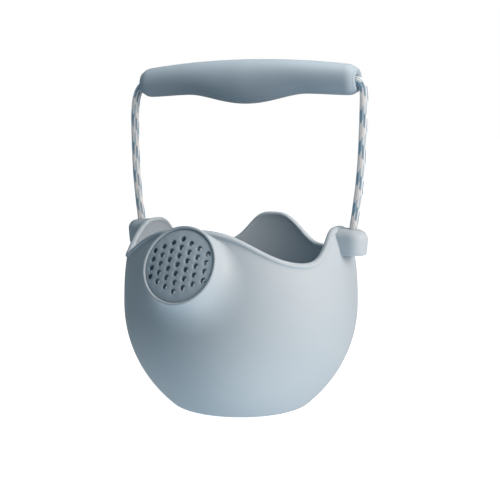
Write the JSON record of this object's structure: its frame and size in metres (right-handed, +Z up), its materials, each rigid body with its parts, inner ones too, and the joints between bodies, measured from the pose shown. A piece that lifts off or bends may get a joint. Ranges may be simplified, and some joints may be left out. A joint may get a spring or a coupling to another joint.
{
  "type": "watering can",
  "caption": "Soft child's watering can: round bowl with a wavy rim, short flared spout with a perforated rose, and a rope handle with a moulded grip.",
  "frame": {"origin": "centre of the flat base the can stands on", "axes": "+Z up out of the flat base, the spout points along -Y, the two rope lugs lie on the X axis"},
  "size_m": [0.1768, 0.1707, 0.2286],
  "materials": {
    "can_silicone": "matte moulded silicone, light blue-grey",
    "rose_silicone": "matte moulded silicone, blue-grey",
    "grip_silicone": "matte moulded silicone, blue-grey",
    "rope_braid": "fine polyester braid, white with blue tracer strands"
  },
  "bodies": {
    "can": {"can_body": "can_silicone", "rope_end_right": "rope_braid", "knot_right": "rope_braid", "rope_end_left": "rope_braid", "knot_left": "rope_braid"},
    "rose": {"rose": "rose_silicone"},
    "handle": {"rope": "rope_braid"},
    "grip": {"grip": "grip_silicone"}
  },
  "joints": [
    {"name": "rose_pull", "type": "slide", "parent": "can", "child": "rose", "axis": [0, -0.9184, 0.3955], "range_m": [0, 0.012]},
    {"name": "handle_swing", "type": "hinge", "parent": "can", "child": "handle", "pos_m": [0, 0.0022, 0.124], "axis": [1, 0, 0], "range_deg": [-92, 78]},
    {"name": "grip_turn", "type": "hinge", "parent": "handle", "child": "grip", "pos_m": [0, 0.00408, 0.21378], "axis": [1, 0, 0], "continuous": true}
  ]
}
